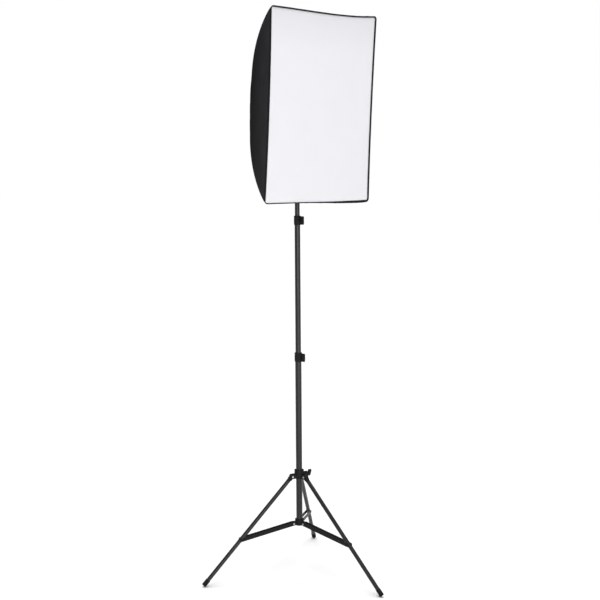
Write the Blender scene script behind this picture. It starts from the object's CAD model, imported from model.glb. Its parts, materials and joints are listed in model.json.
# %% [markdown]
# # A studio softbox on its light stand
# This lesson dresses a finished mechanical model. The stand, the joints and the lamp head come from the
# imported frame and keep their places. What is made here is what a maker would sew or mould around them:
# the black canopy, its binding and diffuser, the thumb knobs, lock collars, rubber feet and the rear cap,
# and a real finish for every surface. All lengths are in metres.

# %% Load the frame
import json
import math

import bpy
from mathutils import Matrix, Vector, noise


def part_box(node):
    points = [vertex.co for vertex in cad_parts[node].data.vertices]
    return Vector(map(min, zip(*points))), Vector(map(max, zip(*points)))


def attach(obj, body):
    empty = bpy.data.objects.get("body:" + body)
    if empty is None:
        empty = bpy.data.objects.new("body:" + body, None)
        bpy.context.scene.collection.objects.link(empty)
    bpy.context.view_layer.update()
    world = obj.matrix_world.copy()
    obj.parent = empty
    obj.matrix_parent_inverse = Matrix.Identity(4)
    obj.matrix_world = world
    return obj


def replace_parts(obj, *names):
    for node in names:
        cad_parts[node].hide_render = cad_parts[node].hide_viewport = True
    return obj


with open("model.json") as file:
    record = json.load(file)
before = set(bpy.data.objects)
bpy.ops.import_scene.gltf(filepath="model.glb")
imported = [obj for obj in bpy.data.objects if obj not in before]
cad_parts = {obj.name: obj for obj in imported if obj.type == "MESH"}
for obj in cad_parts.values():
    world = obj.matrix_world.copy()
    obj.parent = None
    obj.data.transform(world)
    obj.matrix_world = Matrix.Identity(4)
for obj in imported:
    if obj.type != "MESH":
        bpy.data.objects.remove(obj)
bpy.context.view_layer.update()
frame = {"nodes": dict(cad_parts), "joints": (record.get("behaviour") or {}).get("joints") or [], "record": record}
scene = bpy.context.scene
joints = {j["name"]: j for j in frame["joints"]}
MM = 0.001

# %% [markdown]
# ## Where things are
# A softbox is easiest to draw from its front face: how far across, how far up, and how deep behind it.
# The shaft's slide gives the depth direction, and the front binding gives the face. Measuring the frame
# keeps the soft pieces on the hard ones, whatever size the model has.

# %% The column and the face's own axes
def extent(node, origin, ways):
    """The lowest and highest reach of a node along each of the given directions from a point."""
    spots = [v.co - origin for v in frame["nodes"][node].data.vertices]
    return [(min(s.dot(w) for s in spots), max(s.dot(w) for s in spots)) for w in ways]


base_low, base_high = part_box("base_tube")
column = Vector(((base_low.x + base_high.x) / 2, (base_low.y + base_high.y) / 2, 0))
across_way = Vector((1, 0, 0))
depth_way = Vector(joints["shaft_slide"]["axis"]).normalized()
up_way = across_way.cross(depth_way)
pivot = Vector(joints["head_tilt"]["pos_m"])
(u0, u1), (front_depth, _), (v0, v1) = extent("front_binding", pivot, (across_way, depth_way, up_way))
face_w, face_h = u1 - u0, v1 - v0
face_mid = pivot + across_way * (u0 + u1) / 2 + depth_way * front_depth + up_way * (v0 + v1) / 2
box_depth = extent("canopy_top", face_mid, (depth_way,))[0][1]


def at_face(u, depth, v):
    """A point from its distance across, its depth behind the face and its height, from the face's middle."""
    return face_mid + across_way * u + depth_way * depth + up_way * v


print(f"face {face_w:.3f} by {face_h:.3f} m, box {box_depth:.3f} m deep")
print(f"column at {column.x:.3f}, {column.y:.3f}")

# %% [markdown]
# ## Camera
# The camera comes first, so that every later choice is judged from the same place. It stands a little
# under the lamp's height and looks slightly down, turned so that the box shows its face and one side.

# %% Camera
CAMERA_FROM_COLUMN = Vector((-2.460, -3.243, 1.637))
LOOK_ALONG = Vector((0.606, 0.7955, 0)).normalized()
PITCH = math.radians(7.25)
ROLL = math.radians(-0.39)
look = LOOK_ALONG * math.cos(PITCH) - Vector((0, 0, math.sin(PITCH)))
eye = bpy.data.objects.new("studio_camera", bpy.data.cameras.new("studio_camera"))
eye.data.lens = 62.4
eye.data.sensor_width = 36
eye.location = column + CAMERA_FROM_COLUMN
eye.rotation_mode = "QUATERNION"
eye.rotation_quaternion = look.to_track_quat("-Z", "Y") @ Matrix.Rotation(ROLL, 3, "Z").to_quaternion()
scene.collection.objects.link(eye)
scene.camera = eye
print("camera", [round(x, 3) for x in eye.location])

# %% [markdown]
# ## Floor, air and light
# The object is black and white, so it needs a bright, even studio. A soft sun straight above keeps the
# whole floor equally pale, while the air gives only a dim glow, so that black tubes keep dark edges. One
# tall panel behind the camera draws the long highlight down the middle of every tube.

# %% Floor
FLOOR_HALF = 60
floor_mesh = bpy.data.meshes.new("studio_floor")
floor_mesh.from_pydata([(x * FLOOR_HALF, y * FLOOR_HALF, -0.5 * MM) for x, y in
                        ((-1, -1), (1, -1), (1, 1), (-1, 1))], [], [(0, 1, 2, 3)])
floor = bpy.data.objects.new("studio_floor", floor_mesh)
scene.collection.objects.link(floor)
floor_paint = bpy.data.materials.new("floor_paint")
floor_paint.use_nodes = True
floor_bsdf = floor_paint.node_tree.nodes["Principled BSDF"]
floor_bsdf.inputs["Base Color"].default_value = (0.92, 0.92, 0.92, 1)
floor_bsdf.inputs["Roughness"].default_value = 0.9
floor_bsdf.inputs["Specular IOR Level"].default_value = 0.1
floor_mesh.materials.append(floor_paint)
print("floor", 2 * FLOOR_HALF, "m wide")


# %% Air: white to the eye, dim to everything it lights
AIR_GLOW = 0.22
air = bpy.data.worlds.new("studio_air")
scene.world = air
air.use_nodes = True
tree = air.node_tree
background = tree.nodes["Background"]
background.inputs["Color"].default_value = (1, 1, 1, 1)
sight = tree.nodes.new("ShaderNodeLightPath")
brightness = tree.nodes.new("ShaderNodeMapRange")
brightness.inputs["To Min"].default_value = AIR_GLOW
tree.links.new(sight.outputs["Is Camera Ray"], brightness.inputs["Value"])
tree.links.new(brightness.outputs["Result"], background.inputs["Strength"])
scene.view_settings.view_transform = "Standard"
print("air glows", AIR_GLOW)


# %% Lights
def area_light(name, place, target, width, height, watts):
    """A rectangular studio light that looks at a target."""
    data = bpy.data.lights.new(name, "AREA")
    data.shape = "RECTANGLE"
    data.size, data.size_y, data.energy = width, height, watts
    lamp = bpy.data.objects.new(name, data)
    lamp.location = place
    lamp.rotation_euler = (Vector(target) - Vector(place)).to_track_quat("-Z", "Y").to_euler()
    scene.collection.objects.link(lamp)


sun = bpy.data.objects.new("overhead_sun", bpy.data.lights.new("overhead_sun", "SUN"))
sun.data.energy = 2.9
sun.data.angle = math.radians(70)
scene.collection.objects.link(sun)
side_way = Vector((-LOOK_ALONG.y, LOOK_ALONG.x, 0))
middle = Vector((0, 0, 1.1))
area_light("front_panel", middle - LOOK_ALONG * 4.9 + Vector((0, 0, 0.25)), middle, 1.5, 2.7, 108)
area_light("right_strip", middle - side_way * 2.9 - LOOK_ALONG * 3.4, middle, 0.7, 2.6, 56)

# %% [markdown]
# ## Effects that several finishes share
# Grain, edge wear, dust and weave turn up in many materials, so each one is a node group that is built
# once and placed with its own numbers. A group only gives out masks and heights. The shader itself stays
# in the material, where its plain numbers can be read.

# %% Node groups
def new_group(name, inputs, outputs):
    """An empty shader group with named float sockets, and its input and output nodes."""
    group = bpy.data.node_groups.new(name, "ShaderNodeTree")
    for label, value in inputs.items():
        group.interface.new_socket(label, in_out="INPUT", socket_type="NodeSocketFloat").default_value = value
    for label in outputs:
        group.interface.new_socket(label, in_out="OUTPUT", socket_type="NodeSocketFloat")
    return group, group.nodes.new("NodeGroupInput"), group.nodes.new("NodeGroupOutput")


def math_node(tree, operation, first, second=None):
    """A math node fed by sockets or plain numbers."""
    node = tree.nodes.new("ShaderNodeMath")
    node.operation = operation
    for socket, value in zip(node.inputs, (first, second)):
        if hasattr(value, "links"):
            tree.links.new(value, socket)
        elif value is not None:
            socket.default_value = value
    return node.outputs["Value"]


def map_range(tree, value, low, high, to_low=0.0, to_high=1.0):
    node = tree.nodes.new("ShaderNodeMapRange")
    tree.links.new(value, node.inputs["Value"])
    for label, number in (("From Min", low), ("From Max", high), ("To Min", to_low), ("To Max", to_high)):
        node.inputs[label].default_value = number
    return node.outputs["Result"]


def noise_node(tree, scale, detail=3.0, stretch=None):
    """Noise over object space, stretched along an axis where a stretch is given."""
    spot = tree.nodes.new("ShaderNodeTexCoord").outputs["Object"]
    if stretch:
        mapping = tree.nodes.new("ShaderNodeMapping")
        mapping.inputs["Scale"].default_value = stretch
        tree.links.new(spot, mapping.inputs["Vector"])
        spot = mapping.outputs["Vector"]
    node = tree.nodes.new("ShaderNodeTexNoise")
    node.inputs["Detail"].default_value = detail
    tree.links.new(spot, node.inputs["Vector"])
    if hasattr(scale, "links"):
        tree.links.new(scale, node.inputs["Scale"])
    else:
        node.inputs["Scale"].default_value = scale
    return node.outputs["Fac"]


# %% Grain: fine pits and bumps, as in moulded plastic and powder coat
grain, given, gives = new_group("surface_grain", {"Scale": 900.0}, ["Height", "Patches"])
grain.links.new(noise_node(grain, given.outputs["Scale"], 2.0), gives.inputs["Height"])
grain.links.new(noise_node(grain, 14.0, 4.0), gives.inputs["Patches"])

# %% Edge wear: a mask where a rounded-off normal leaves the real one, broken up by noise
wear, given, gives = new_group("edge_wear", {"Low": 0.02, "High": 0.12}, ["Mask"])
rounded = wear.nodes.new("ShaderNodeBevel")
rounded.samples = 4
rounded.inputs["Radius"].default_value = 0.8 * MM
facing = wear.nodes.new("ShaderNodeNewGeometry")
agree = wear.nodes.new("ShaderNodeVectorMath")
agree.operation = "DOT_PRODUCT"
wear.links.new(rounded.outputs["Normal"], agree.inputs[0])
wear.links.new(facing.outputs["Normal"], agree.inputs[1])
bend = math_node(wear, "SUBTRACT", 1.0, agree.outputs["Value"])
ramp = wear.nodes.new("ShaderNodeMapRange")
wear.links.new(bend, ramp.inputs["Value"])
wear.links.new(given.outputs["Low"], ramp.inputs["From Min"])
wear.links.new(given.outputs["High"], ramp.inputs["From Max"])
scuff = map_range(wear, noise_node(wear, 160.0, 5.0), 0.42, 0.62)
wear.links.new(math_node(wear, "MULTIPLY", ramp.outputs["Result"], scuff), gives.inputs["Mask"])

# %% Dust: settles on faces that look up
dust, given, gives = new_group("settled_dust", {"Amount": 0.3}, ["Mask"])
normal_parts = dust.nodes.new("ShaderNodeSeparateXYZ")
dust.links.new(dust.nodes.new("ShaderNodeNewGeometry").outputs["Normal"], normal_parts.inputs["Vector"])
lying = map_range(dust, normal_parts.outputs["Z"], 0.3, 1.0)
patchy = map_range(dust, noise_node(dust, 55.0, 6.0), 0.35, 0.75)
dust.links.new(math_node(dust, "MULTIPLY", math_node(dust, "MULTIPLY", lying, patchy),
                         given.outputs["Amount"]), gives.inputs["Mask"])

# %% Weave: crossed threads, laid on whichever plane the cloth faces
weave, given, gives = new_group("plain_weave", {"Threads per metre": 1400.0}, ["Height"])
coords = weave.nodes.new("ShaderNodeTexCoord")
spot = weave.nodes.new("ShaderNodeSeparateXYZ")
lean = weave.nodes.new("ShaderNodeSeparateXYZ")
weave.links.new(coords.outputs["Object"], spot.inputs["Vector"])
weave.links.new(coords.outputs["Normal"], lean.inputs["Vector"])
turns = math_node(weave, "MULTIPLY", given.outputs["Threads per metre"], math.pi)
waves = [math_node(weave, "SINE", math_node(weave, "MULTIPLY", spot.outputs[k], turns)) for k in "XYZ"]
shares = [math_node(weave, "POWER", math_node(weave, "ABSOLUTE", lean.outputs[k]), 6.0) for k in "XYZ"]
total = None
for k in range(3):
    crossing = math_node(weave, "MULTIPLY", waves[(k + 1) % 3], waves[(k + 2) % 3])
    part = math_node(weave, "MULTIPLY", crossing, shares[k])
    total = part if total is None else math_node(weave, "ADD", total, part)
weave.links.new(map_range(weave, total, -1.0, 1.0), gives.inputs["Height"])
print("groups:", sorted(g.name for g in bpy.data.node_groups))

# %% [markdown]
# ## Finishes
# One function builds a finish from a base colour, a roughness and the effects it needs. Worn edges and
# dust mix into the colour and the roughness, and grain or weave feeds a bump. The plain numbers of each
# shader, such as sheen or coat, are set straight on its sockets.

# %% The finish builder
def place(tree, group, **values):
    node = tree.nodes.new("ShaderNodeGroup")
    node.node_tree = group
    for label, value in values.items():
        node.inputs[label.replace("_", " ")].default_value = value
    return node


def mix_colour(tree, mask, first, second):
    node = tree.nodes.new("ShaderNodeMix")
    node.data_type = "RGBA"
    tree.links.new(mask, node.inputs["Factor"])
    for socket, value in ((node.inputs[6], first), (node.inputs[7], second)):
        if hasattr(value, "links"):
            tree.links.new(value, socket)
        else:
            socket.default_value = (*value, 1)
    return node.outputs[2]


def finish(name, colour, rough, grain_scale=None, grain_depth=0.0, threads=None, thread_depth=0.0,
           worn=None, wear_from=0.02, dusty=0.0, patch=0.12, streaks=None, fade=None, plain=None):
    """A material: patches of slightly different colour and roughness, worn edges, dust, and a bump.

    fade is (a point, a direction, how far, a colour): the shade drifts to that colour along the way.
    """
    material = bpy.data.materials.new(name)
    material.use_nodes = True
    tree = material.node_tree
    bsdf = tree.nodes["Principled BSDF"]
    grains = place(tree, grain, Scale=grain_scale or 900.0)
    blotch = map_range(tree, grains.outputs["Patches"], 0.3, 0.7)
    dark = tuple(c * (1 - patch) for c in colour)
    light = tuple(min(1.0, c * (1 + patch)) for c in colour)
    shade = mix_colour(tree, blotch, dark, light)
    roughness = map_range(tree, grains.outputs["Patches"], 0.3, 0.7, rough * 0.9, min(1.0, rough * 1.1))
    if fade:
        start, way, reach, far_shade = fade
        along = tree.nodes.new("ShaderNodeVectorMath")
        along.operation = "DOT_PRODUCT"
        along.inputs[1].default_value = way
        tree.links.new(tree.nodes.new("ShaderNodeTexCoord").outputs["Object"], along.inputs[0])
        done = map_range(tree, along.outputs["Value"], start.dot(way), start.dot(way) + reach)
        shade = mix_colour(tree, done, shade, far_shade)
    if streaks:
        lines = map_range(tree, noise_node(tree, 60.0, 4.0, streaks), 0.45, 0.75)
        roughness = math_node(tree, "ADD", roughness, math_node(tree, "MULTIPLY", lines, 0.14))
    if worn:
        mask = place(tree, wear, Low=wear_from, High=wear_from + 0.12).outputs["Mask"]
        shade = mix_colour(tree, mask, shade, worn)
    if dusty:
        film = place(tree, dust, Amount=dusty).outputs["Mask"]
        shade = mix_colour(tree, film, shade, (0.36, 0.35, 0.33))
        roughness = math_node(tree, "MAXIMUM", roughness, film)
    tree.links.new(shade, bsdf.inputs["Base Color"])
    tree.links.new(roughness, bsdf.inputs["Roughness"])
    height, depth = grains.outputs["Height"], grain_depth
    if threads:
        height, depth = place(tree, weave, Threads_per_metre=threads).outputs["Height"], thread_depth
    bump = tree.nodes.new("ShaderNodeBump")
    bump.inputs["Strength"].default_value = 0.6
    bump.inputs["Distance"].default_value = depth
    tree.links.new(height, bump.inputs["Height"])
    tree.links.new(bump.outputs["Normal"], bsdf.inputs["Normal"])
    for label, value in (plain or {}).items():
        bsdf.inputs[label].default_value = value
    return material


# %% The finishes, one for each material slot of the object
ALONG_UP = (1.0, 1.0, 0.02)
DULL = {"Specular IOR Level": 0.11}
finishes = {
    "black_tube": finish("black_tube", (0.0045, 0.0045, 0.0048), 0.34, 700, 0.03 * MM,
                         worn=(0.06, 0.06, 0.065), wear_from=0.05, dusty=0.02, streaks=ALONG_UP,
                         plain={"Specular IOR Level": 0.36}),
    "brace_strip": finish("brace_strip", (0.0075, 0.0075, 0.008), 0.42, 700, 0.05 * MM,
                          worn=(0.10, 0.10, 0.11), dusty=0.03, plain=DULL),
    "collar_plastic": finish("collar_plastic", (0.0065, 0.0065, 0.007), 0.50, 1400, 0.06 * MM,
                             worn=(0.04, 0.04, 0.044), dusty=0.05, plain=DULL),
    "knob_plastic": finish("knob_plastic", (0.006, 0.006, 0.0065), 0.46, 1500, 0.05 * MM,
                           worn=(0.04, 0.04, 0.044), dusty=0.04, plain=DULL),
    "holder_plastic": finish("holder_plastic", (0.0065, 0.0065, 0.007), 0.50, 1300, 0.06 * MM,
                             worn=(0.04, 0.04, 0.044), dusty=0.04, plain=DULL),
    "foot_rubber": finish("foot_rubber", (0.006, 0.006, 0.006), 0.75, 800, 0.09 * MM,
                          worn=(0.03, 0.03, 0.03), dusty=0.08, plain=DULL),
    "steel": finish("steel", (0.34, 0.34, 0.36), 0.36, 1600, 0.02 * MM, patch=0.10,
                    streaks=(0.05, 1.0, 1.0), plain={"Metallic": 1.0}),
    "contact_brass": finish("contact_brass", (0.72, 0.52, 0.22), 0.32, 1200, 0.02 * MM, patch=0.15,
                            plain={"Metallic": 1.0}),
    "socket_ceramic": finish("socket_ceramic", (0.80, 0.79, 0.75), 0.30, 300, 0.08 * MM, patch=0.03,
                             plain={"Coat Weight": 0.8, "Coat Roughness": 0.08}),
    "bulb_white": finish("bulb_white", (0.83, 0.83, 0.81), 0.38, 900, 0.03 * MM, patch=0.03),
    "bulb_opal": finish("bulb_opal", (0.88, 0.88, 0.87), 0.22, 200, 0.02 * MM, patch=0.02,
                        plain={"Subsurface Weight": 0.2, "Coat Weight": 0.4, "Coat Roughness": 0.12}),
    "canopy_cloth": finish("canopy_cloth", (0.027, 0.027, 0.029), 0.95, threads=1250,
                           thread_depth=0.12 * MM, patch=0.15, plain={"Specular IOR Level": 0.02},
                           fade=(face_mid, depth_way, 0.26, (0.008, 0.008, 0.0088))),
    "binding_tape": finish("binding_tape", (0.011, 0.011, 0.012), 0.85, threads=900,
                           thread_depth=0.16 * MM, patch=0.15, plain={"Specular IOR Level": 0.06}),
    "diffuser_cloth": finish("diffuser_cloth", (0.60, 0.60, 0.621), 0.75, threads=1800,
                             thread_depth=0.05 * MM, patch=0.008, plain={"Specular IOR Level": 0.25},
                             fade=(face_mid + up_way * 0.21, up_way, 0.16, (0.545, 0.545, 0.566))),
}
silver_lining = finish("silver_lining", (0.74, 0.74, 0.76), 0.34, 420, 0.25 * MM, patch=0.10,
                       plain={"Metallic": 0.9})
thread = finish("seam_thread", (0.016, 0.016, 0.018), 0.65, 2600, 0.08 * MM, patch=0.15)
for row in frame["record"]["subparts"]:
    if row["node"] in frame["nodes"]:
        slots = frame["nodes"][row["node"]].data.materials
        slots.clear()
        slots.append(finishes[row["material_slot"]])
print("finishes:", sorted(finishes))

# %% [markdown]
# ## Softened edges on the carried-over parts
# Real castings, mouldings and sawn tubes have no razor edges. The frame's meshes may not change, but a
# modifier stack may be laid over them: weld the split corners, merge flat triangles into whole faces,
# then cut a small bevel that catches the light.

# %% Bevels
def soften(node, width):
    """Lays a small bevel over a carried-over part."""
    piece = frame["nodes"][node]
    weld = piece.modifiers.new("weld", "WELD")
    weld.merge_threshold = 0.005 * MM
    flat = piece.modifiers.new("flat_faces", "DECIMATE")
    flat.decimate_type = "DISSOLVE"
    flat.angle_limit = math.radians(0.6)
    bevel = piece.modifiers.new("edge", "BEVEL")
    bevel.width = width
    bevel.segments = 2
    bevel.limit_method = "ANGLE"
    bevel.angle_limit = math.radians(40)
    bevel.harden_normals = True
    bevel.use_clamp_overlap = True


MOULDED = ("base_hub", "leg_collar", "leg_eye_1", "leg_eye_2", "leg_eye_3", "head_clamp", "lamp_holder",
           "tilt_lever", "runner", "shaft_end_cap", "cord_gland")
PRESSED = ("brace_1", "brace_2", "brace_3", "brace_pins", "leg_pins", "spigot", "tilt_nut")
for node in MOULDED:
    soften(node, 0.7 * MM)
for node in PRESSED:
    soften(node, 0.35 * MM)
print("softened:", len(MOULDED) + len(PRESSED), "parts")

# %% [markdown]
# ## Building meshes from rings
# Most moulded and sewn pieces are a row of rings joined side by side: a lathe turns one profile round an
# axis, a loft joins rings of any shape, and a sweep carries a small ring along a line. One function that
# joins rings covers all three.

# %% Rings to meshes
def add_piece(name, points, faces, materials, body, slot, smooth=True):
    """Makes an object from points and faces, gives it its finish and lets it ride on a body."""
    mesh = bpy.data.meshes.new(name)
    mesh.from_pydata([tuple(p) for p in points], [], faces)
    mesh.polygons.foreach_set("use_smooth", [smooth] * len(mesh.polygons))
    for material in materials:
        mesh.materials.append(material)
    mesh.update()
    piece = bpy.data.objects.new(name, mesh)
    scene.collection.objects.link(piece)
    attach(piece, body)
    return piece


def join_rings(rings, closed=False, caps=True, base=0):
    """Faces between neighbouring rings of equal length; closed joins the last ring to the first."""
    size, count = len(rings[0]), len(rings)
    faces = []
    for i in range(count if closed else count - 1):
        low, high = base + i * size, base + (i + 1) % count * size
        for j in range(size):
            k = (j + 1) % size
            faces.append((low + j, low + k, high + k, high + j))
    if caps and not closed:
        faces.append(tuple(base + j for j in reversed(range(size))))
        faces.append(tuple(base + (count - 1) * size + j for j in range(size)))
    return faces


def merged(*parts):
    """One list of points and one of faces from several (points, faces) pairs."""
    points, faces = [], []
    for some_points, some_faces in parts:
        shift = len(points)
        points += some_points
        faces += [tuple(i + shift for i in face) for face in some_faces]
    return points, faces


def ring_part(rings, closed=False, caps=True):
    return [p for ring in rings for p in ring], join_rings(rings, closed, caps)


def axes_for(way, hint=Vector((0, 0, 1))):
    """Two directions square to a way, the first as near to the hint as it can be."""
    first = (hint - way * hint.dot(way)).normalized()
    return first, way.cross(first)


def lathe(origin, way, profile, segments=64, hint=Vector((0, 0, 1)), closed=False, ripple=None):
    """Turns (along, radius) pairs round an axis. ripple(angle, along) adds to the radius."""
    first, second = axes_for(way, hint)
    rings = []
    for along, radius in profile:
        ring = []
        for j in range(segments):
            angle = 2 * math.pi * j / segments
            r = radius + (ripple(angle, along, radius) if ripple else 0)
            ring.append(origin + way * along + (first * math.cos(angle) + second * math.sin(angle)) * r)
        rings.append(ring)
    return ring_part(rings, closed)


def sharpen(piece, degrees=35):
    """Keeps a smooth-shaded piece crisp where its faces meet at more than this angle."""
    piece.data.set_sharp_from_angle(angle=math.radians(degrees))
    return piece


# %% [markdown]
# ## The canopy
# The real canopy is four gores of black nylon with a silver lining, sewn along four ribs that bow
# outward, and drawn in to a crown at the rear. It could be draped by simulation, but tensioned cloth
# between fixed ribs hardly moves, so a formula gives more control: the ribs' arc sets the outline at
# each depth, the belly of each gore swells or sags between its ribs, and noise adds the puckers that
# sewing and tension leave along seams, at the front hem and round the crown.

# %% The outline at each depth
RIB_BOW = 33 * MM
CROWN_HALF = 22 * MM
side_u, side_v = face_w / 2 - CROWN_HALF, face_h / 2 - CROWN_HALF
run_end = math.hypot(side_u, side_v)
chord = math.hypot(box_depth, run_end)
arc_radius = chord ** 2 / (8 * RIB_BOW) + RIB_BOW / 2
arc_centre = Vector((box_depth, run_end)) / 2
arc_centre += (arc_radius - RIB_BOW) * Vector((-run_end, box_depth)) / chord


def half_sizes(depth):
    """Half the box's width and height at a depth behind the face."""
    run = arc_centre.y - math.sqrt(arc_radius ** 2 - (depth - arc_centre.x) ** 2)
    return face_w / 2 - run * side_u / run_end, face_h / 2 - run * side_v / run_end


def corner_radius(depth):
    return 5 * MM + 7 * MM * math.exp(-depth / 0.04)


SIDES = {  # outward normal and direction along, as (across, up)
    "right": (Vector((1, 0)), Vector((0, 1))),
    "top": (Vector((0, 1)), Vector((-1, 0))),
    "left": (Vector((-1, 0)), Vector((0, -1))),
    "bottom": (Vector((0, -1)), Vector((1, 0))),
}
EDGE_PULL = {"right": (4.0 * MM, 0), "top": (6.3 * MM, -0.8), "left": (4.4 * MM, 0), "bottom": (0.0, 0)}
SWELL = {"right": 7 * MM, "top": 2 * MM, "left": 7 * MM, "bottom": 7 * MM}


def edge_pull(side, x):
    """How far the hem is drawn in at x, which runs from -1 to 1 along a side of the face."""
    most, skew = EDGE_PULL[side]
    return most * (1 - x * x) * (1 + skew * x)


def ease(t):
    """A smooth step from 0 to 1."""
    t = max(0.0, min(1.0, t))
    return t * t * (3 - 2 * t)


def hang(u, v, depth):
    """How slack carries the front of the box from its drawn outline: the lower side bags, most at right."""
    right, high = max(0.0, 2 * u / face_w), 2 * v / face_h
    fade = max(0.0, 1 - depth / (0.45 * box_depth)) ** 2
    bag = 2.8 * MM + 6.2 * MM * ease((u + 0.10) / 0.29) * (1 - 0.75 * min(right, 1) ** 12)
    down = -bag * max(0.0, -high) ** 3 + 1.6 * MM * max(0.0, high) ** 3
    return -2.9 * MM * right ** 2 * high * fade, down * fade


def placed(u, depth, v):
    """A point of the soft box, with the hang of its cloth."""
    du, dv = hang(u, v, depth)
    return at_face(u + du, depth, v + dv)


def half_lengths(side, depth):
    """For a side: how far out its plane lies, and half its straight length between the corners."""
    w, h = half_sizes(depth)
    out, along = (w, h) if SIDES[side][0].x else (h, w)
    return out, max(along - corner_radius(depth), 0.3 * along)


def ripple_at(side, x, depth, room):
    """Wrinkles: puckers off the rib seams and the front hem, folds at the crown, soft waves between."""
    seed = 7.3 * list(SIDES).index(side)
    share = depth / box_depth
    to_seam = (1 - abs(x)) * room
    a = x * room
    seam = 1.3 * MM * math.exp(-to_seam / 0.035) * noise.noise(Vector((depth / 0.020, seed, x)))
    hem = 1.1 * MM * math.exp(-depth / 0.05) * noise.noise(Vector((a / 0.024, seed + 3, depth / 0.12)))
    fold = 3.2 * MM * math.exp((share - 1) / 0.17) * noise.noise(Vector((x * 3.4, seed + 5, share * 1.5)))
    drag = noise.noise(Vector((a / 0.13 + depth / 0.16, seed + 9, depth / 0.30)))
    waves = 2.6 * MM * drag * (1 - x * x) * math.sin(math.pi * min(share, 1))
    still = min(1.0, to_seam / 0.012)
    return (seam + hem + fold + waves) * still


def canopy_spot(side, a, depth, lift=0.0):
    """A point on a gore, a metres along from its middle, lifted off the cloth."""
    normal, along = SIDES[side]
    out, room = half_lengths(side, depth)
    x = max(-1.0, min(1.0, a / room))
    share = min(1.0, depth / box_depth)
    out -= edge_pull(side, x) * max(0.0, 1 - share / 0.55) ** 2
    out += SWELL[side] * (1 - x * x) * math.sin(math.pi * share) ** 0.8
    out += ripple_at(side, x, depth, room)
    flat = normal * (out + lift) + along * a
    return placed(flat.x, depth, flat.y)


def corner_spot(side, turn, depth, lift=0.0):
    """A point on the rounded corner that follows a side; turn goes from 0 to 1 round it."""
    normal, along = SIDES[side]
    out, room = half_lengths(side, depth)
    w, h = half_sizes(depth)
    far = h if normal.x else w
    round_out, round_along = min(corner_radius(depth), 0.7 * out), far - room
    angle = turn * math.pi / 2
    flat = normal * (out - round_out + (round_out + lift) * math.cos(angle))
    flat += along * (room + (round_along + lift) * math.sin(angle))
    return placed(flat.x, depth, flat.y)


print("crown reached at", round(half_sizes(box_depth)[0] / MM, 1), "mm half width")

# %% The canopy's rows and columns
CLOTH = 0.9 * MM
HEM_DEPTH = 4.7 * MM
ROWS = 84
SLOT_HALF = 22 * MM
SLOT_START, SLOT_END = 22 * MM, 250 * MM
SIDE_COLUMNS, MIDDLE_COLUMNS, CORNER_COLUMNS = 34, 8, 3
row_depths = []
for i in range(ROWS + 1):
    t = i / ROWS
    row_depths.append(HEM_DEPTH + (box_depth - 0.4 * MM - HEM_DEPTH) * (t * 1.22 - 0.22 * t * t))
for mark in (SLOT_START, SLOT_END):
    nearest = min(range(len(row_depths)), key=lambda i: abs(row_depths[i] - mark))
    row_depths[nearest] = mark


def columns(room):
    """Places along a gore: even to the middle band, which is as wide as the slot, and on again."""
    band = min(SLOT_HALF, 0.45 * room)
    left = [-room + (room - band) * i / SIDE_COLUMNS for i in range(SIDE_COLUMNS)]
    mid = [-band + 2 * band * i / MIDDLE_COLUMNS for i in range(MIDDLE_COLUMNS)]
    right = [band + (room - band) * i / SIDE_COLUMNS for i in range(SIDE_COLUMNS + 1)]
    return left + mid + right


def canopy_ring(depth):
    ring = []
    for side in SIDES:
        room = half_lengths(side, depth)[1]
        ring += [canopy_spot(side, a, depth) for a in columns(room)]
        ring += [corner_spot(side, k / (CORNER_COLUMNS + 1), depth) for k in range(1, CORNER_COLUMNS + 1)]
    return ring


rings = [canopy_ring(depth) for depth in row_depths]
per_side = 2 * SIDE_COLUMNS + MIDDLE_COLUMNS + 1 + CORNER_COLUMNS
slot_from = 3 * per_side + SIDE_COLUMNS
slot_columns = range(slot_from, slot_from + MIDDLE_COLUMNS)
slot_rows = range(row_depths.index(SLOT_START), row_depths.index(SLOT_END))
size = len(rings[0])
faces = []
for i in range(ROWS):
    for j in range(size):
        if not (i in slot_rows and j in slot_columns):
            k = (j + 1) % size
            faces.append((i * size + j, (i + 1) * size + j, (i + 1) * size + k, i * size + k))
canopy = add_piece("canopy", [p for ring in rings for p in ring], faces,
                   (finishes["canopy_cloth"], silver_lining), "softbox", "canopy_cloth")
lining = canopy.modifiers.new("lining", "SOLIDIFY")
lining.thickness = CLOTH
lining.offset = -1
lining.material_offset = 1
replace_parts(canopy, "canopy_top", "canopy_bottom", "canopy_left", "canopy_right")

# %% [markdown]
# ## Seams, piping and stitches
# Along each rib two gores are sewn together over a piped cord, with a row of stitches on each side that
# closes the rib's pocket. Bump alone would vanish at the outline, so the piping is a swept tube and each
# stitch is a small bead of thread.

# %% Piping over the four ribs
PIPING = 1.7 * MM
FLAP_DEPTH = 11.5 * MM
REAR_DEPTH = box_depth - 2 * MM


def sweep(line, radius, sides=8):
    """A closed tube along a line of points; radius may be a number or a function of the share done."""
    rings = []
    for i, spot in enumerate(line):
        way = (line[min(i + 1, len(line) - 1)] - line[max(i - 1, 0)]).normalized()
        first, second = axes_for(way, up_way if abs(way.dot(up_way)) < 0.9 else across_way)
        r = radius(i / (len(line) - 1)) if callable(radius) else radius
        rings.append([spot + (first * math.cos(t) + second * math.sin(t)) * r
                      for t in (2 * math.pi * j / sides for j in range(sides))])
    return ring_part(rings)


def seam_depths(step):
    count = int((REAR_DEPTH - FLAP_DEPTH) / step)
    return [FLAP_DEPTH + (REAR_DEPTH - FLAP_DEPTH) * i / count for i in range(count + 1)]


def cord_radius(share):
    """Slightly uneven, as a hand-fed piping is."""
    return PIPING * (1 + 0.10 * noise.noise(Vector((share * 60, 0, 0))))


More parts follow.
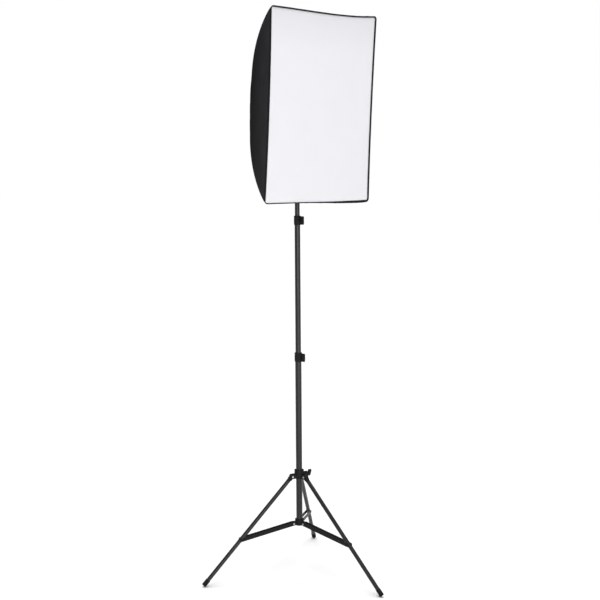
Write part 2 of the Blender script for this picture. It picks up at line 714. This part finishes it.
piping_parts = [sweep([corner_spot(side, 0.5, d, 0.5 * MM) for d in seam_depths(5 * MM)], cord_radius, 10)
                for side in SIDES]
piping = add_piece("canopy_piping", *merged(*piping_parts), (finishes["binding_tape"],), "softbox",
                   "binding_tape")
print("piping:", len(piping.data.vertices), "points")


# %% Stitches
STITCH_LONG, STITCH_PITCH, STITCH_R = 3.4 * MM, 5.2 * MM, 0.42 * MM


def bead(start, end, radius, sides=5):
    """One stitch: a bead of thread that dips into the cloth at both ends."""
    way = (end - start).normalized()
    first, second = axes_for(way, up_way if abs(way.dot(up_way)) < 0.9 else across_way)
    points = [start]
    for share in (0.25, 0.75):
        spot = start.lerp(end, share)
        points += [spot + (first * math.cos(t) + second * math.sin(t)) * radius
                   for t in (2 * math.pi * j / sides for j in range(sides))]
    points.append(end)
    last = len(points) - 1
    faces = []
    for j in range(sides):
        k = (j + 1) % sides
        faces += [(0, 1 + k, 1 + j), (1 + j, 1 + k, 1 + sides + k, 1 + sides + j),
                  (last, 1 + sides + j, 1 + sides + k)]
    return points, faces


def stitch_row(line):
    """Beads along a densely sampled line, one every pitch."""
    parts, done, due = [], 0.0, 0.0
    for a, b in zip(line, line[1:]):
        step = (b - a).length
        while due <= done + step:
            start = a.lerp(b, (due - done) / step)
            parts.append(bead(start, start + (b - a).normalized() * STITCH_LONG, STITCH_R))
            due += STITCH_PITCH
        done += step
    return parts


SEAM_ALLOWANCE = 8 * MM
seam_stitches = []
for side in SIDES:
    for end in (-1, 1):
        line = [canopy_spot(side, end * (half_lengths(side, d)[1] - SEAM_ALLOWANCE), d, 0.15 * MM)
                for d in seam_depths(4 * MM) if half_lengths(side, d)[1] > 2 * SEAM_ALLOWANCE]
        seam_stitches += stitch_row(line)
stitches = add_piece("canopy_stitches", *merged(*seam_stitches), (thread,), "softbox", "canopy_cloth")
print("seam stitches:", len(seam_stitches))

# %% [markdown]
# ## The hemmed slot in the belly
# The stand comes up through a slot in the lower gore. Its raw edge is bound with tape, which is a thin
# band laid on the cloth and folded over the edge, so it is lofted from a few rounded outlines.

# %% Slot hem
def slot_outline(grow, arc_points=6, straight_points=22):
    """A rounded rectangle round the slot, as (across, depth) pairs, grown outward by a distance."""
    r = 4 * MM + max(grow, -3 * MM)
    w, low, high = SLOT_HALF + grow, SLOT_START - grow, SLOT_END + grow
    centres = ((w - r, high - r, 0), (r - w, high - r, 90), (r - w, low + r, 180), (w - r, low + r, 270))
    corners = [[(x + r * math.cos(math.radians(turn + 90 * k / arc_points)),
                 y + r * math.sin(math.radians(turn + 90 * k / arc_points)))
                for k in range(arc_points + 1)] for x, y, turn in centres]
    points = []
    for here, after in zip(corners, corners[1:] + corners[:1]):
        points += here
        points += [(here[-1][0] + (after[0][0] - here[-1][0]) * k / straight_points,
                    here[-1][1] + (after[0][1] - here[-1][1]) * k / straight_points)
                   for k in range(1, straight_points)]
    return points


HEM_PROFILE = ((7.0, 0.05), (7.2, 0.45), (6.8, 0.95), (1.0, 1.1), (-0.6, 0.8), (-1.2, -0.4), (-0.6, -1.6),
               (1.0, -1.9), (6.6, -1.7), (6.8, -1.0))
hem_rings = [[canopy_spot("bottom", u, d, lift * MM) for u, d in slot_outline(grow * MM)]
             for grow, lift in HEM_PROFILE]
slot_hem = add_piece("slot_hem", *ring_part(hem_rings, closed=True), (finishes["binding_tape"],), "softbox",
                     "binding_tape")
hem_line = [canopy_spot("bottom", u, d, 1.1 * MM) for u, d in slot_outline(5 * MM)]
slot_stitches = add_piece("slot_stitches", *merged(*stitch_row(hem_line + hem_line[:1])), (thread,),
                          "softbox", "binding_tape")
print("slot hem:", len(slot_hem.data.polygons), "faces")

# %% [markdown]
# ## The front binding
# A woven tape is folded over the front hem of the canopy. It stands a little proud of the cloth, its
# front swells over the hem inside, and it is drawn in slightly along each side. It is one profile
# carried round the face, so its folds and its rounded corners are real geometry.

# %% Binding
TAPE_PROFILE = ((-6.6, 1.2), (-6.75, 0.2), (-6.1, -0.55), (-4.4, -0.95), (-2.4, -1.0), (-0.7, -0.7),
                (0.3, -0.1), (0.8, 1.2), (0.9, 4.0), (0.85, 7.5), (0.8, 10.9), (0.5, 11.3), (0.1, 10.9),
                (0.1, 4.4), (-2.6, 4.2), (-5.2, 3.8))
FACE_STEPS = 70
FACE_CORNER = corner_radius(0)


def face_edge(steps=FACE_STEPS, arc_steps=7):
    """The face's outline as (spot, outward normal, side, x, turn); turn is None between the corners."""
    found = []
    for side, (normal, along) in SIDES.items():
        out, room = half_lengths(side, 0)
        for i in range(steps + 1):
            x = -1 + 2 * i / steps
            found.append((normal * (out - edge_pull(side, x)) + along * (x * room), normal, side, x, None))
        for k in range(1, arc_steps + 1):
            turn = k / (arc_steps + 1)
            way = normal * math.cos(turn * math.pi / 2) + along * math.sin(turn * math.pi / 2)
            spot = normal * (out - FACE_CORNER) + along * room + way * FACE_CORNER
            found.append((spot, way, side, 1.0, turn))
    return found


FLAP = {"right": 0.85, "top": 0.66, "left": 0.6, "bottom": 0.32}


def flap_share(side, x, u):
    """How much of the tape's front shows: little along the bottom, where it has rolled under."""
    here = FLAP[side] + (0.95 * ease((u + 0.06) / 0.26) if side == "bottom" else 0)
    names = list(FLAP)
    near = FLAP[names[(names.index(side) + (1 if x > 0 else -1)) % 4]]
    return here + (0.5 * (near + here) - here) * ease((abs(x) - 0.93) / 0.07)


def flank_spot(side, x, turn, depth, lift):
    """A point on the tape's flank, which follows the cloth that it covers."""
    if turn is None:
        return canopy_spot(side, x * half_lengths(side, depth)[1], depth, lift)
    return corner_spot(side, turn, depth, lift)


outline = face_edge()
front_half = half_sizes(0)
tape_rings = []
for spot, normal, side, x, turn in outline:
    wobble = 0.3 * MM * noise.noise(Vector((spot.x / 0.03, spot.y / 0.03, 2)))
    front_share = flap_share(side, x, spot.x)
    ring = []
    for off, depth in TAPE_PROFILE:
        if off > 0 and depth > 1:
            ring.append(flank_spot(side, x, turn, depth * MM, off * MM))
            continue
        w, h = half_sizes(depth * MM)
        at = Vector((spot.x * w / front_half[0], spot.y * h / front_half[1]))
        at += normal * (off * MM * (front_share if off < 0 else 1) + wobble)
        ring.append(placed(at.x, depth * MM, at.y))
    tape_rings.append(ring)
binding = add_piece("front_binding_tape", *ring_part(tape_rings, closed=True),
                    (finishes["binding_tape"],), "softbox", "binding_tape")
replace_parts(binding, "front_binding")
tape_line = []
for spot, normal, side, x, turn in outline + outline[:1]:
    at = spot - normal * 4.4 * MM * flap_share(side, x, spot.x)
    tape_line.append(placed(at.x, -0.9 * MM, at.y))
tape_stitches = add_piece("binding_stitches", *merged(*stitch_row(tape_line)), (thread,), "softbox",
                          "binding_tape")
print("binding:", len(binding.data.polygons), "faces")

# %% [markdown]
# ## The diffuser
# The front cloth is plain white nylon, held all round inside the binding. It is not a flat board: it
# rolls back under the tape at its edges, hangs very slightly loose from its top, and shows faint creases
# toward its corners. A fine grid moved by a formula keeps it one clean sheet.

# %% Diffuser
DIFFUSER_IN = {"right": 4.2 * MM, "top": 2.8 * MM, "left": 2.2 * MM, "bottom": 0.9 * MM}
COLUMNS, LINES = 84, 116


def diffuser_spot(x, y):
    """A point on the diffuser; x and y run from -1 to 1."""
    w = face_w / 2 - DIFFUSER_IN["right" if x > 0 else "left"]
    h = face_h / 2 - DIFFUSER_IN["top" if y > 0 else "bottom"]
    u = x * (w - (edge_pull("right", y) if x > 0 else edge_pull("left", -y)) * abs(x) ** 3)
    v = y * (h - (edge_pull("top", -x) if y > 0 else edge_pull("bottom", x)) * abs(y) ** 3)
    to_side, to_end = (1 - abs(x)) * w, (1 - abs(y)) * h
    to_edge = min(to_side, to_end)
    roll = 1.8 * MM * math.exp(-to_edge / 0.005)
    top_waves = 1.1 * MM * math.exp(-(1 - y) * h / 0.14) * noise.noise(Vector((u / 0.05, 1, y)))
    corner = math.exp(-(to_side + to_end) / 0.09)
    creases = 1.2 * MM * corner * noise.noise(Vector(((to_side - to_end) / 0.03, 4, x + y)))
    soft = 1.6 * MM * noise.noise(Vector((u / 0.17, 8, v / 0.26)))
    puckers = 0.35 * MM * math.exp(-to_edge / 0.03) * noise.noise(Vector((u / 0.018, v / 0.018, 3)))
    held = min(1.0, to_edge / 0.02)
    return placed(u, 1.4 * MM + roll + (top_waves + creases + soft) * held + puckers, v)


grid = [diffuser_spot(-1 + 2 * i / COLUMNS, -1 + 2 * j / LINES) for j in range(LINES + 1)
        for i in range(COLUMNS + 1)]
wide = COLUMNS + 1
faces = [(j * wide + i, j * wide + i + 1, (j + 1) * wide + i + 1, (j + 1) * wide + i)
         for j in range(LINES) for i in range(COLUMNS)]
diffuser = add_piece("diffuser_sheet", grid, faces, (finishes["diffuser_cloth"],), "softbox",
                     "diffuser_cloth")
back = diffuser.modifiers.new("thickness", "SOLIDIFY")
back.thickness = 0.4 * MM
back.offset = -1
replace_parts(diffuser, "diffuser")
print("diffuser:", len(faces), "faces")

# %% [markdown]
# ## Thumb knobs
# Each lock on the stand is a winged plastic grip moulded on a steel screw. The outline is a bar with
# round ends and a narrower waist. Lofting it in steps rounds the edges, ridges help the fingers, and a
# shallow recess shows on the outer face.

# %% A knob from its joint
GRIP_DEEP, NECK_LONG = 12.5 * MM, 3 * MM
GRIP_STEPS = ((0.0, 1.3), (0.35, 0.5), (1.1, 0.0), (11.4, 0.0), (12.15, 0.5), (12.5, 1.3), (12.5, 2.6),
              (11.7, 3.0), (11.7, 4.0))
RIDGE = 3.1 * MM


def grip_ring(origin, long_way, wide_way, half_long, half_wide, inset, points=96):
    ring = []
    for j in range(points):
        c, s = math.cos(2 * math.pi * j / points), math.sin(2 * math.pi * j / points)
        p = math.copysign(abs(c) ** 0.8, c)
        waist = 1 - 0.16 * (1 - p * p)
        q = math.copysign(abs(s) ** 0.55, s) * waist
        ridge = 0.35 * MM * max(0.0, math.cos(2 * math.pi * p * half_long / RIDGE)) if abs(p) < 0.66 else 0
        ring.append(origin + long_way * p * (half_long - inset)
                    + wide_way * (q * (half_wide - inset) - math.copysign(ridge, s) * abs(q)))
    return ring


def thumb_knob(node, joint, body):
    """A moulded grip and its threaded screw, in place of a plain knob."""
    spot, way = Vector(joints[joint]["pos_m"]), Vector(joints[joint]["axis"]).normalized()
    (tip, top), = extent(node, spot, (way,))
    offs = [(v.co - spot) - way * (v.co - spot).dot(way) for v in frame["nodes"][node].data.vertices]
    half_long = max(offs, key=lambda o: o.length)
    long_way = half_long.normalized()
    wide_way = way.cross(long_way)
    rings = [grip_ring(spot + way * (top - GRIP_DEEP + step * MM), long_way, wide_way,
                       half_long.length, GRIP_DEEP / 2, inset * MM) for step, inset in GRIP_STEPS]
    neck_from = top - GRIP_DEEP - NECK_LONG
    neck = lathe(spot, way, ((neck_from, 3.6 * MM), (neck_from, 4.1 * MM), (neck_from + 0.4 * MM, 4.5 * MM),
                             (top - GRIP_DEEP + 1 * MM, 4.7 * MM)), 32)
    grip = add_piece(node + "_grip", *merged(ring_part(rings), neck), (finishes["knob_plastic"],), body,
                     "knob_plastic")
    turns = int((neck_from - tip) / (0.4 * MM))
    threads = [(tip, 1.9 * MM)] + [(tip + (neck_from - tip) * (i + 1) / (turns + 1),
                                    (2.5 if i % 2 else 2.15) * MM) for i in range(turns)]
    add_piece(node + "_screw", *lathe(spot, way, threads, 24), (finishes["steel"],), body, "steel")
    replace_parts(sharpen(grip), node)
    return grip


KNOBS = {"leg_knob": "leg_knob_turn", "mid_lock_knob": "mid_lock_knob_turn",
         "top_lock_knob": "top_lock_knob_turn", "head_clamp_knob": "head_clamp_knob_turn",
         "shaft_screw": "shaft_screw_turn"}
for node, joint in KNOBS.items():
    thumb_knob(node, joint, node)
print("knobs:", len(KNOBS))

# %% [markdown]
# ## Lock collars
# The collar at each telescopic joint is a thin moulded sleeve with upright ribs for grip, a plain rim
# and a round boss for the knob's screw. A lathe with a rippled radius makes the ribs, and its profile
# runs up the outside and down the bore, so that the collar is really hollow.

# %% Collars
RIBS = 20


def lock_collar(node, body, lower, upper, joint):
    low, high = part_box(node)
    tall = high.z - low.z
    lower_r = (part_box(lower)[1].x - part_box(lower)[0].x) / 2 + 0.15 * MM
    upper_r = (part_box(upper)[1].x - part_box(upper)[0].x) / 2 + 0.15 * MM
    wall_r = lower_r + 1.7 * MM
    step = tall - 22 * MM
    foot = Vector((column.x, column.y, low.z))

    def ribs(angle, along, radius):
        upright = min(1.0, max(0.0, (along - 2.5 * MM) / MM), max(0.0, (tall - 8 * MM - along) / MM))
        return 0.55 * MM * upright * max(0.0, math.cos(RIBS * angle)) ** 2 if radius >= wall_r else 0.0

    heights = [2.5 + i * (tall / MM - 10.5) / 8 for i in range(9)]
    profile = [(0, lower_r), (0, wall_r - 0.5 * MM), (0.6 * MM, wall_r)]
    profile += [(h * MM, wall_r) for h in heights]
    profile += [(tall - 6.4 * MM, wall_r), (tall - 5.6 * MM, wall_r + 0.9 * MM),
                (tall - 1.2 * MM, wall_r + 0.9 * MM), (tall - 0.3 * MM, wall_r + 0.4 * MM),
                (tall, wall_r - 0.5 * MM), (tall, upper_r + 0.6 * MM), (tall - 0.6 * MM, upper_r),
                (step, upper_r), (step, lower_r)]
    sleeve = lathe(foot, Vector((0, 0, 1)), profile, 120, across_way, closed=True, ripple=ribs)
    spot, way = Vector(joints[joint]["pos_m"]), Vector(joints[joint]["axis"]).normalized()
    face_out = (spot - foot).dot(way)
    face_out = min(face_out, wall_r + 3 * MM)
    centre = Vector((foot.x, foot.y, spot.z))
    boss = lathe(centre, way, ((wall_r - 1.2 * MM, 2.7 * MM), (wall_r - 1.2 * MM, 7.9 * MM),
                               (wall_r, 7.6 * MM), (face_out - 0.6 * MM, 7.3 * MM), (face_out, 6.7 * MM),
                               (face_out, 4.9 * MM), (face_out - 0.5 * MM, 4.6 * MM),
                               (face_out - 0.5 * MM, 2.7 * MM)), 48, closed=True)
    collar = add_piece(node + "_moulding", *merged(sleeve, boss), (finishes["collar_plastic"],), body,
                       "collar_plastic")
    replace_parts(sharpen(collar), node)


lock_collar("mid_lock_collar", "stand_base", "base_tube", "mid_tube", "mid_lock_knob_turn")
lock_collar("top_lock_collar", "mid_section", "mid_tube", "top_tube", "top_lock_knob_turn")
print("lock collars: 2")

# %% [markdown]
# ## Rubber feet
# A square-ended rubber cap is pushed on each leg. Grooves keep it from creeping, its rim is rounded, and
# where it stands on the floor it is worn flat. The lathe runs down the leg, and every point that would
# fall under the floor is raised to it.

# %% Feet
FOOT_R, FOOT_LONG, FOOT_END = 9.5 * MM, 24 * MM, 4.4 * MM
BORE_R = 8.15 * MM
foot_profile = [(-FOOT_LONG, BORE_R), (-FOOT_LONG, FOOT_R - 0.8 * MM), (-FOOT_LONG + 0.8 * MM, FOOT_R)]
for groove in (-19, -15, -11, -7):
    foot_profile += [((groove - 0.9) * MM, FOOT_R), ((groove - 0.5) * MM, FOOT_R - 0.7 * MM),
                     ((groove + 0.5) * MM, FOOT_R - 0.7 * MM), ((groove + 0.9) * MM, FOOT_R)]
ROUND = 1.8 * MM
foot_profile += [(FOOT_END - ROUND + ROUND * math.sin(math.radians(a)),
                  FOOT_R - ROUND + ROUND * math.cos(math.radians(a))) for a in range(0, 91, 15)]
foot_profile += [(FOOT_END - 0.6 * MM, 5 * MM), (FOOT_END - 0.6 * MM, 0.3 * MM), (0.3 * MM, 0.3 * MM),
                 (0.3 * MM, BORE_R)]
feet_at = {m["name"]: Vector(m["pos_m"]) for m in frame["record"]["mounts"]}
for i in (1, 2, 3):
    hinge = Vector(joints[f"leg_{i}_fold"]["pos_m"])
    centre = feet_at[f"foot_{i}"] + Vector((0, 0, 0.9 * FOOT_R))
    points, faces = lathe(centre, (centre - hinge).normalized(), foot_profile, 48, closed=True)
    points = [Vector((p.x, p.y, max(p.z, 0.0))) for p in points]
    foot = add_piece(f"leg_foot_{i}_rubber", points, faces, (finishes["foot_rubber"],), f"leg_{i}",
                     "foot_rubber")
    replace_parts(sharpen(foot, 45), f"leg_foot_{i}")
print("feet: 3")

# %% [markdown]
# ## The rear cap
# Behind the crown a moulded cap pins the gathered edges of the cloth. It is a turned shape with a thick
# rounded rim, finger notches round it, and a sunk middle with a screw.

# %% Rear cap and screw
(cap_from, cap_to), = extent("crown_cap", face_mid, (depth_way,))
CAP_R = 30 * MM
CAP_BACK = box_depth + 0.3 * MM
cap_profile = [(cap_from, 0.3 * MM), (cap_from, CROWN_HALF - 2.3 * MM), (CAP_BACK, CROWN_HALF - 2.3 * MM),
               (CAP_BACK, CAP_R - 1 * MM), (CAP_BACK + 0.8 * MM, CAP_R), (CAP_BACK + 2.6 * MM, CAP_R),
               (CAP_BACK + 6 * MM, CAP_R - 2.4 * MM), (cap_to - 0.8 * MM, CAP_R - 5 * MM),
               (cap_to, CAP_R - 8 * MM), (cap_to, CAP_R - 10 * MM), (cap_to - 1.6 * MM, CAP_R - 12 * MM),
               (cap_to - 2.2 * MM, 9 * MM), (cap_to - 1.0 * MM, 7.5 * MM), (cap_to - 1.0 * MM, 0.3 * MM)]


def notches(angle, along, radius):
    """Sixteen shallow finger notches in the rim."""
    return -1.2 * MM * max(0.0, math.cos(16 * angle)) ** 4 if radius > CAP_R - 2 * MM else 0.0


cap = add_piece("rear_cap", *lathe(face_mid, depth_way, cap_profile, 128, up_way, ripple=notches),
                (finishes["holder_plastic"],), "softbox", "holder_plastic")
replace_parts(sharpen(cap), "crown_cap")
head = lathe(face_mid + depth_way * (cap_to - 1.0 * MM), depth_way,
             ((-0.5 * MM, 0.3 * MM), (-0.5 * MM, 4.4 * MM), (0.0, 4.5 * MM), (0.6 * MM, 4.1 * MM),
              (0.9 * MM, 2.6 * MM), (0.1 * MM, 2.3 * MM), (0.1 * MM, 0.3 * MM)), 36, up_way)
sharpen(add_piece("rear_cap_screw", *head, (finishes["steel"],), "softbox", "steel"))
print("rear cap:", round((cap_to - cap_from) / MM, 1), "mm deep")
